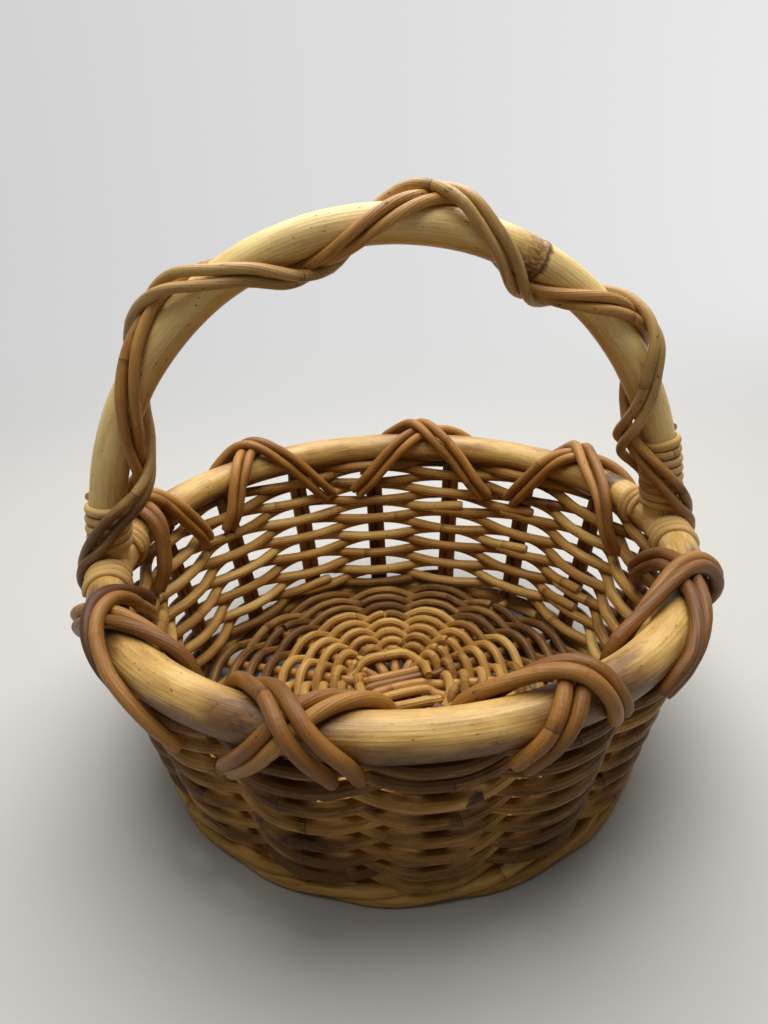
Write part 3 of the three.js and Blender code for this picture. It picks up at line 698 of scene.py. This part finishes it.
def wall_path(strand, begin, end, lifted):
    path = []
    steps = math.ceil((end - begin) * WEAVE_STEPS)
    for i in range(steps + 1):
        share = begin + (end - begin) * i / steps
        angle = strand * math.pi + stake_step * share
        turned = share + strand
        height = min(first_row + 2 * ROW_PITCH * max(share, 0) / stake_pairs, last_row)
        rise = lifted * WEAVER_THICKNESS * LIFTED_END * (1 - ease((share - begin) / LIFTED_RUN))
        rise += LEVEL_RISE * ease(share - wall_crossings) * (1 - weave(turned)) / 2
        radius = stake_radius(height) + weave(turned) * weave_offset
        path.append((polar(radius, angle, height + rise), radial(angle)))
    return path


# Degrees round the basket, height, and half length in degrees of each scorched mark on the wall
WALL_SCORCHES = ((248, 0.048, 4.5), (260, 0.078, 1.3), (275.5, 0.086, 1.2), (205, 0.066, 2.0))
WALL_SCORCH_HALF_HEIGHT = 0.004
WALL_SCORCH_DEPTH = 5
# Painted shade laid over the outer side of the wall weavers
WALL_PAINTED_SHADE = 0.45


# Painted shade on the weavers' outer side, with real scorch marks there
def wall_shade_and_scorches(spot):
    outward = math.hypot(spot.x, spot.y) - stake_radius(spot.z)
    around = math.degrees(math.atan2(spot.y, spot.x)) % 360
    scorched = max(ease(1.3 - math.hypot((around - angle) / half_length,
                                         (spot.z - height) / WALL_SCORCH_HALF_HEIGHT))
                   for angle, height, half_length in WALL_SCORCHES)
    return (WALL_PAINTED_SHADE + WALL_SCORCH_DEPTH * scorched) * ease(outward / weave_offset)


# Where a length of a run is cut. What would be left over too short is laid with it.
def next_cut(at, length, end):
    return end if end - at - length < SHORTEST_LENGTH else at + length


for strand, letter in ((0, "a"), (1, "b")):
    middle = round(wall_crossings / 2)
    top = wall_crossings + LEVEL_CROSSINGS
    for part, begin, end in (("lower", 1 - LEVEL_CROSSINGS, middle), ("upper", middle, top)):
        mesh = new_mesh()
        at = begin
        while at < end:
            length = chance.choice(WEAVER_LENGTHS) + ((at + strand) % 2 == 0)
            until = next_cut(at, length, end)
            starts = at - (WEAVER_END_PAST_STAKE if at > begin else 0)
            stops = until + (WEAVER_END_PAST_STAKE if until < end else 0)
            row = (at + length / 2) / wall_crossings
            tone = WALL_TONE - LOW_ROWS_DARKER * ease(1 - row / LOW_ROWS)
            tone -= HIGH_ROWS_DARKER * ease((row - HIGH_ROWS_START) / HIGH_ROWS_RUN)
            lay_cane(mesh, wall_path(strand, starts, stops, at > begin), WEAVER_SWOLLEN,
                     wander=0.0007, tone=tone + chance.uniform(-0.38, 0.3), soil_and_shade_at=wall_shade_and_scorches)
            at = until
        finish_piece(f"wall_cane_{letter}_{part}", mesh, weaver_cane, "weaver",
                     f"wall_weaver_{letter}_{part}")

# Base sticks. Four stout canes lie across four in the middle of the base, and their ends are
# fanned out to reach the foot beside the stakes.
BASE_STICK_SWOLLEN = 0.0066
BASE_DOME = 0.004
BASE_DOME_RADIUS = 0.034
SLATH_PITCH = 0.0070
SLATH_FAN_RADIUS = 0.030
SLATH_MARGIN = 0.001
STICK_STEPS = 12
LOWER_STICKS_TONE = 0.45
UPPER_STICKS_TONE = 0.7
DARK_UPPER_STICK = 3
DARK_STICK_TONE = 0.05
layer_offset = BASE_STICK_SWOLLEN / 2
stick_reach = FOOT_RADIUS - FOOT_THICKNESS / 2 - CANE_GAP
slath_half = STICKS_PER_LAYER * SLATH_PITCH / 2 + SLATH_MARGIN
slath_turn = stake_step / 2
base_cane = rattan("base_cane", (0.09, 0.034, 0.007), (0.36, 0.155, 0.030), (0.56, 0.31, 0.075),
                   0.2, rough=0.42, coat=0.15, specks=0.5)


def dome_height(radius):
    share = (stick_reach - radius) / (stick_reach - BASE_DOME_RADIUS)
    return base_height + BASE_DOME * min(share, 1)


def smooth_path(points, normals, steps):
    path = []
    last = len(points) - 1
    for i in range(last):
        around = [points[min(max(i + shift, 0), last)] for shift in (-1, 0, 1, 2)]
        for step in range(steps + (i == last - 1)):
            t = step / steps
            a, b, c, d = around
            spot = 0.5 * ((2 * b) + (c - a) * t + (2 * a - 5 * b + 4 * c - d) * t * t
                          + (3 * b - a - 3 * c + d) * t ** 3)
            path.append((spot, normals[i].lerp(normals[i + 1], t).normalized()))
    return path


for layer, name in ((0, "lower"), (1, "upper")):
    for place in range(STICKS_PER_LAYER):
        heading = slath_turn + (1 - layer) * math.pi / 2
        from_middle = place - (STICKS_PER_LAYER - 1) / 2
        sideways = UP.cross(radial(heading)) * from_middle * SLATH_PITCH
        fan = from_middle * stake_step
        flat = dome_height(0) + (layer_offset if layer else -layer_offset)
        points = []
        for sign in (-1, 1):
            swing = heading + (math.pi - fan if sign < 0 else fan)
            outer = [polar(radius, swing, dome_height(radius)) for radius in
                     (stick_reach, mix(SLATH_FAN_RADIUS, stick_reach, 0.5), SLATH_FAN_RADIUS)]
            inner = sideways + radial(heading) * sign * slath_half + UP * flat
            points += outer + [inner] if sign < 0 else [inner] + outer[::-1]
        mesh = new_mesh()
        tone = UPPER_STICKS_TONE if layer else LOWER_STICKS_TONE
        if layer and place + 1 == DARK_UPPER_STICK:
            tone = DARK_STICK_TONE
        lay_cane(mesh, smooth_path(points, [UP] * len(points), STICK_STEPS), BASE_STICK_SWOLLEN,
                 wander=0.0002, tone=tone + chance.uniform(-0.1, 0.1))
        finish_piece(f"base_stick_{name}_{place + 1}_cane", mesh, base_cane, "stake",
                     f"base_stick_{name}_{place + 1}")

# Base weavers. Two runs of thinner cane chase each other outward in short lengths. The first
# round takes the sticks four at a time, and the rest go over one stick and under the next.
BASE_ROUND_START = 0.0205
BASE_ROUND_PITCH = 0.0063
BASE_PRESS = 0.0062
BASE_LENGTHS = (12, 16, 18, 22)
BASE_STEPS = 20
BASE_END_PAST_STICK = 0.06
SLATH_CORNER_SHARE = 0.14
SLATH_EDGE_RADIUS = 0.017
SLATH_EDGE_RUN = 0.012
# The outer rounds are darker, from a share of the way out
BASE_TONE = 0.42
BASE_OUTER_TONE = 0.02
BASE_DARKENS = 0.62
BASE_DARKENING_RUN = 0.2
base_end = STAKE_FOOT_RADIUS - weave_offset - WEAVER_THICKNESS / 2
base_crossings = math.floor((base_end - BASE_ROUND_START) / (2 * BASE_ROUND_PITCH) * stake_pairs)


def base_spot(strand, share):
    angle = strand * math.pi + stake_step * share
    radius = BASE_ROUND_START + 2 * BASE_ROUND_PITCH * share / stake_pairs
    singly = ease((share - stake_pairs + 1) / 2)
    group = math.cos(2 * (angle - slath_turn))
    corner = SLATH_CORNER_SHARE * (1 - group * group) * (1 - ease((share - stake_pairs) / 6))
    group = min(max(group * 1.5, -1), 1)
    beside = layer_offset * group * (1 - ease((radius - SLATH_EDGE_RADIUS) / SLATH_EDGE_RUN))
    grouped = beside + group * BASE_PRESS * (-1 if strand else 1)
    lift = weave(share + strand * (stake_pairs / 2 + 1)) * BASE_PRESS
    return polar(radius * (1 + corner), angle, dome_height(radius) + mix(grouped, lift, singly))


for strand, letter in ((0, "a"), (1, "b")):
    mesh = new_mesh()
    at = 0
    while at < base_crossings:
        length = chance.choice(BASE_LENGTHS)
        until = next_cut(at, length, base_crossings)
        steps = (until - at) * BASE_STEPS
        shares = [at + (until - at) * i / steps for i in range(steps + 1)]
        shares[0] += BASE_END_PAST_STICK if at else 0
        path = [(base_spot(strand, share), UP) for share in shares]
        row = (at + length / 2) / base_crossings
        tone = mix(BASE_TONE, BASE_OUTER_TONE, ease((row - BASE_DARKENS) / BASE_DARKENING_RUN))
        lay_cane(mesh, path, BASE_WEAVER_SWOLLEN, sides=10,
                 tone=tone + chance.uniform(-0.25, 0.2))
        at = until
    finish_piece(f"base_cane_{letter}", mesh, weaver_cane, "weaver", f"base_weaver_{letter}")

# Border. At each of eight crossings two pairs of smoked canes come up inside the wall, pass over
# the hoop leaning opposite ways, and go down outside. The pair that leans forward lies on top.
BORDER_THICKNESS = 0.0071
BORDER_SPACING = 0.0075
BORDER_GAP = 0.0006
BORDER_INSIDE_DROP = 0.032
BORDER_OUTSIDE_DROP = 0.030
BORDER_LEAVES_INSIDE = math.radians(78)
BORDER_LEAVES_OUTSIDE = math.radians(102)
BORDER_INSIDE_RUN = 0.0363
BORDER_OUTSIDE_RUN = 0.0274
BORDER_LIFT_STARTS = 0.0205
BORDER_LIFT_RUN = 0.0145
BORDER_SPOTS = 60
BORDER_EASING = 14
BORDER_LIFT_EASING = 7
BORDER_ROUNDING = 10
BORDER_ROUNDING_LOSS = 0.0007
BORDER_NARROWS_INSIDE = 0.05
# How far the ends are pushed into the weave, and over what length
BORDER_TUCK_INSIDE = 0.006
BORDER_TUCK_OUTSIDE = 0.0028
BORDER_TUCK_RUN = 0.013
# Degrees round the basket of each pair: at its inside end, on top of the hoop and at its outside
# end, then the share of the way in that it travels while it is on the hoop
CROSSINGS = [
    ((7, 30, 47, 0.68), (48, 31, 12, 0.38)),
    ((55.5, 77, 92, 0.5), (96, 74.5, 58, 0.42)),
    ((104, 123, 138, 0.42), (138.5, 126, 106, 0.55)),
    ((146.5, 160, 176, 0.35), (173, 163, 147, 0.35)),
    ((181, 204.5, 230, 0.28), (226, 209, 192, 0.8)),
    ((232.5, 247, 258, 0.72), (264, 253, 237, 0.82)),
    ((272, 291.5, 298, 0.8), (298.5, 291, 277, 0.6)),
    ((306.5, 332, 340, 0.95), (357, 327, 303, 0.5)),
]
# Metres that a pair stops short outside, how far its two canes part there, and the share of the
# way out that it travels while it is on the hoop, then what the pairs not named have
STOPS_SHORT = {("over", 1): 0.008, ("under", 2): 0.006, ("over", 3): 0.010, ("under", 4): 0.008,
               ("under", 5): 0.013, ("over", 6): 0.014, ("under", 6): 0.006, ("over", 7): 0.025,
               ("under", 7): 0.013, ("over", 8): 0.010, ("under", 8): 0.016}
PARTED = {("over", 5): 1.0, ("over", 6): 1.8, ("under", 6): 0.75, ("over", 7): 0.8}
OUT_ON_HOOP = {("over", 5): 0.58, ("over", 6): 0.9, ("under", 6): 0.47, ("under", 7): 0.54,
               ("over", 8): 0.62}
USUALLY_PARTED = 0.92
USUALLY_OUT_ON_HOOP = 0.7
# One cane is smoked nearly black and cut short, the crossings at the back are painted paler as
# painted light, and those at the front darker as painted shade
SMOKED_CANE = (5, "over", -1)
SMOKED_STOPS_SHORT = 0.025
SMOKED_TONE = 0.05
BACK_CROSSINGS = 4
BACK_PAINTED_LIGHT = 0.2
FRONT_PAINTED_SHADE = -0.12
border_cane = rattan("border_cane", (0.070, 0.024, 0.006), (0.225, 0.090, 0.015),
                     (0.41, 0.195, 0.040), 0.21, rough=0.43, coat=0.08, specks=0.7, scorched=0.45,
                     streaky=0.25, gloss=0.22)
border_radius = BORDER_THICKNESS / 2
border_on_hoop = HOOP_THICKNESS / 2 + BORDER_GAP + border_radius
# A pair that comes near a rim binding rises over it
binding_edge = rim_binding_end / HOOP_RADIUS + math.radians(6)
binding_run = math.radians(4)
binding_rise = BINDING_THICKNESS + BINDING_GAP


def wall_surface(height, side):
    skin = weave_offset + WEAVER_THICKNESS / 2 + BORDER_GAP + border_radius
    return stake_radius(height) + side * skin, height


# A pair lies on the hoop's round back, and leaves it on a straight line down the wall
inside_end = wall_surface(HOOP_HEIGHT - BORDER_INSIDE_DROP, -1)
outside_end = wall_surface(HOOP_HEIGHT - BORDER_OUTSIDE_DROP, 1)
inside_arc = border_on_hoop * BORDER_LEAVES_INSIDE
outside_arc = border_on_hoop * BORDER_LEAVES_OUTSIDE
inside_reach = inside_arc + BORDER_INSIDE_RUN
outside_reach = outside_arc + BORDER_OUTSIDE_RUN
border_along = [mix(-inside_reach, outside_reach, i / BORDER_SPOTS)
                for i in range(BORDER_SPOTS + 1)]


def border_angles(pair, outward_on_hoop):
    inside, top, outside, inward_on_hoop = pair
    angles = []
    for along in border_along:
        end, arc, reach, on_hoop = ((inside, inside_arc, inside_reach, inward_on_hoop)
                                    if along < 0 else
                                    (outside, outside_arc, outside_reach, outward_on_hoop))
        away = abs(along)
        beyond = on_hoop + (away - arc) / (reach - arc) * (1 - on_hoop)
        share = on_hoop * away / arc if away < arc else beyond
        angles.append(math.radians(top + (end - top) * share))
    return relaxed(angles, BORDER_EASING)


def border_lifts(angles, other, side):
    lifts = []
    for i, (angle, along) in enumerate(zip(angles, border_along)):
        before, after = max(i - 1, 0), min(i + 1, BORDER_SPOTS)
        way = Vector(((angles[after] - angles[before]) * HOOP_RADIUS,
                      border_along[after] - border_along[before])).normalized()
        aside = side * BORDER_SPACING / 2
        round_hoop, over_hoop = angle * HOOP_RADIUS + aside * way.y, along - aside * way.x
        apart = min(math.hypot(round_hoop - beside * HOOP_RADIUS, over_hoop - below)
                    for beside, below in zip(other, border_along))
        lifts.append(BORDER_THICKNESS * ease((BORDER_LIFT_STARTS - apart) / BORDER_LIFT_RUN))
    return relaxed(lifts, BORDER_LIFT_EASING)


def border_path(angles, lifts, side, parted, stops_short):
    points = []
    normals = []
    for along, angle, lift in zip(border_along, angles, lifts):
        from_foot = abs(math.asin(math.sin(angle)))
        lift += binding_rise * ease((binding_edge - from_foot) / binding_run)
        section = math.pi / 2 - min(max(along, -inside_arc), outside_arc) / border_on_hoop
        reached = border_on_hoop + lift + BORDER_ROUNDING_LOSS
        radius = HOOP_RADIUS + reached * math.cos(section)
        height = HOOP_HEIGHT + reached * math.sin(section)
        end, arc, reach = ((inside_end, inside_arc, inside_reach) if along < 0 else
                           (outside_end, outside_arc, outside_reach))
        share = max(abs(along) - arc, 0) / (reach - arc)
        radius, height = mix(radius, end[0], share), mix(height, end[1], share)
        past_start, before_stop = inside_reach + along, outside_reach - stops_short - along
        radius += BORDER_TUCK_INSIDE * ease(1 - past_start / BORDER_TUCK_RUN)
        radius -= BORDER_TUCK_OUTSIDE * ease(1 - before_stop / BORDER_TUCK_RUN)
        points.append(polar(radius, angle, height))
        tilt = math.atan2(max(height - HOOP_HEIGHT, 0), radius - HOOP_RADIUS)
        normals.append(radial(angle) * math.cos(tilt) + UP * math.sin(tilt))
    points = relaxed(points, BORDER_ROUNDING)
    path = []
    for i, (point, normal) in enumerate(zip(points, normals)):
        if border_along[i] > outside_reach - stops_short:
            break
        along = points[min(i + 1, BORDER_SPOTS)] - points[max(i - 1, 0)]
        outer = ease(border_along[i] / (outside_reach - stops_short))
        inner = ease(-border_along[i] / inside_reach)
        apart = BORDER_SPACING / 2 * (1 + (parted - 1) * outer - BORDER_NARROWS_INSIDE * inner)
        path.append((point + normal.cross(along.normalized()) * side * apart, normal))
    return path


for number, (over, under) in enumerate(CROSSINGS, 1):
    above = border_angles(over, OUT_ON_HOOP.get(("over", number), USUALLY_OUT_ON_HOOP))
    below = border_angles(under, OUT_ON_HOOP.get(("under", number), USUALLY_OUT_ON_HOOP))
    painted_lighting = BACK_PAINTED_LIGHT if number <= BACK_CROSSINGS else FRONT_PAINTED_SHADE
    for layer, angles in (("over", above), ("under", below)):
        mesh = new_mesh()
        parted = PARTED.get((layer, number), USUALLY_PARTED)
        stops_short = STOPS_SHORT.get((layer, number), 0)
        for side in (-1, 1):
            smoked = (number, layer, side) == SMOKED_CANE
            lifts = (border_lifts(above, below, side) if layer == "over" else
                     [0] * len(border_along))
            path = border_path(angles, lifts, side, parted,
                               SMOKED_STOPS_SHORT if smoked else stops_short)
            # The back crossings' tone holds painted light, the front ones' painted shade
            tone = SMOKED_TONE if smoked else chance.uniform(0.35, 0.8) + painted_lighting
            lay_cane(mesh, path, BORDER_THICKNESS, sides=16, step=0.0028, spacing=0.31,
                     wander=0.0007, tone=tone)
        finish_piece(f"border_canes_{layer}_{number}", mesh, border_cane, "border",
                     f"border_pair_{layer}_{number}")

# Studio. A pale sweep of paper under and behind the basket, a broad soft lamp above and behind it
# and a smaller one above the front, and the camera at the photograph's height and angle.
PHOTO_HEIGHT = 1024
CAMERA_FOCUS_IN_PIXELS = 731.5
SWEEP_HALF_WIDTH = 2.2
SWEEP_FRONT = -1.2
SWEEP_BEND_START = 0.62
SWEEP_BEND = 0.5
SWEEP_BEND_STEPS = 12
SWEEP_TOP = 1.9
scene = bpy.context.scene
camera_data = bpy.data.cameras.new("camera")
camera_data.sensor_width = 36
camera_data.sensor_fit = "AUTO"
camera_data.lens = CAMERA_FOCUS_IN_PIXELS * camera_data.sensor_width / PHOTO_HEIGHT
camera = bpy.data.objects.new("camera", camera_data)
camera.location = (-0.03742, -0.40054, 0.34144)
camera.rotation_euler = (1.12408, 0.036349, -0.097306)
scene.collection.objects.link(camera)
scene.camera = camera

sweep = bmesh.new()
bend = [i * math.pi / 2 / SWEEP_BEND_STEPS for i in range(SWEEP_BEND_STEPS + 1)]
profile = [(SWEEP_FRONT, 0)]
profile += [(SWEEP_BEND_START + SWEEP_BEND * math.sin(angle),
             SWEEP_BEND - SWEEP_BEND * math.cos(angle)) for angle in bend]
profile += [(SWEEP_BEND_START + SWEEP_BEND, SWEEP_TOP)]
rail = [sweep.verts.new((-SWEEP_HALF_WIDTH, y, z)) for y, z in profile]
line = [sweep.edges.new(pair) for pair in zip(rail, rail[1:])]
grown = bmesh.ops.extrude_edge_only(sweep, edges=line)["geom"]
bmesh.ops.translate(sweep, vec=(2 * SWEEP_HALF_WIDTH, 0, 0),
                    verts=[part for part in grown if isinstance(part, bmesh.types.BMVert)])
bmesh.ops.recalc_face_normals(sweep, faces=sweep.faces)
sweep_data = bpy.data.meshes.new("sweep")
sweep.to_mesh(sweep_data)
sweep.free()
sweep_data.shade_smooth()
backdrop = bpy.data.objects.new("backdrop", sweep_data)
scene.collection.objects.link(backdrop)


# The pale background is only for the rays that look at it, and lights nothing
def looking_rays(tree):
    rays = tree.nodes.new("ShaderNodeLightPath")
    looking = rays.outputs["Is Camera Ray"]
    for kind in ("Is Glossy Ray", "Is Transmission Ray"):
        either = tree.nodes.new("ShaderNodeMath")
        either.operation = "MAXIMUM"
        tree.links.new(looking, either.inputs[0])
        tree.links.new(rays.outputs[kind], either.inputs[1])
        looking = either.outputs[0]
    return looking


# Grey paper, which fades behind the basket into a pale glow that is dimmer at the left
paper = bpy.data.materials.new("paper")
paper.use_nodes = True
paper_tree = paper.node_tree
paper_shader = paper_tree.nodes["Principled BSDF"]
paper_shader.inputs["Base Color"].default_value = (0.47, 0.462, 0.435, 1)
paper_shader.inputs["Roughness"].default_value = 0.9
paper_node = paper_tree.nodes.new
paper_place = paper_node("ShaderNodeTexCoord")
paper_axes = paper_node("ShaderNodeSeparateXYZ")
paper_far = paper_node("ShaderNodeMapRange")
paper_far.interpolation_type = "SMOOTHSTEP"
paper_share = paper_node("ShaderNodeMath")
paper_share.operation = "MULTIPLY"
paper_glow = paper_node("ShaderNodeEmission")
paper_side = paper_node("ShaderNodeMapRange")
for ranged, values in ((paper_far, (0.3, 0.95, 0, 1)), (paper_side, (-1.1, 1.1, 0.58, 0.84))):
    for wanted, value in zip(("From Min", "From Max", "To Min", "To Max"), values):
        ranged.inputs[wanted].default_value = value
paper_mix = paper_node("ShaderNodeMixShader")
paper_output = paper_tree.nodes["Material Output"]
for source, target in ((paper_place.outputs["Object"], paper_axes.inputs[0]),
                       (paper_axes.outputs["Y"], paper_far.inputs["Value"]),
                       (paper_far.outputs[0], paper_share.inputs[0]),
                       (looking_rays(paper_tree), paper_share.inputs[1]),
                       (paper_share.outputs[0], paper_mix.inputs[0]),
                       (paper_axes.outputs["X"], paper_side.inputs["Value"]),
                       (paper_side.outputs[0], paper_glow.inputs["Strength"]),
                       (paper_shader.outputs[0], paper_mix.inputs[1]),
                       (paper_glow.outputs[0], paper_mix.inputs[2]),
                       (paper_mix.outputs[0], paper_output.inputs["Surface"])):
    paper_tree.links.new(source, target)
sweep_data.materials.append(paper)

world = bpy.data.worlds.new("studio")
scene.world = world
world.use_nodes = True
world_tree = world.node_tree
world_light = world_tree.nodes["Background"]
world_light.inputs[0].default_value = (1.0, 0.94, 0.84, 1)
world_light.inputs[1].default_value = 0.08
world_seen = world_tree.nodes.new("ShaderNodeBackground")
world_seen.inputs[0].default_value = (1.0, 1.0, 0.99, 1)
world_seen.inputs[1].default_value = 0.7
world_mix = world_tree.nodes.new("ShaderNodeMixShader")
for source, target in ((looking_rays(world_tree), world_mix.inputs[0]),
                       (world_light.outputs[0], world_mix.inputs[1]),
                       (world_seen.outputs[0], world_mix.inputs[2]),
                       (world_mix.outputs[0], world_tree.nodes["World Output"].inputs[0])):
    world_tree.links.new(source, target)


def soft_lamp(name, place, target, size, power):
    data = bpy.data.lights.new(name, "AREA")
    data.shape = "DISK"
    data.size = size
    data.energy = power
    lamp = bpy.data.objects.new(name, data)
    lamp.location = place
    aim = Vector(target) - Vector(place)
    lamp.rotation_euler = aim.to_track_quat("-Z", "Y").to_euler()
    scene.collection.objects.link(lamp)


soft_lamp("key", place=(0.12, 0.36, 1.35), target=(0, 0, 0.1), size=1.6, power=33)
soft_lamp("front", place=(-0.25, -0.42, 1.6), target=(0, 0, 0.3), size=0.8, power=7)
scene.view_settings.view_transform = "Standard"
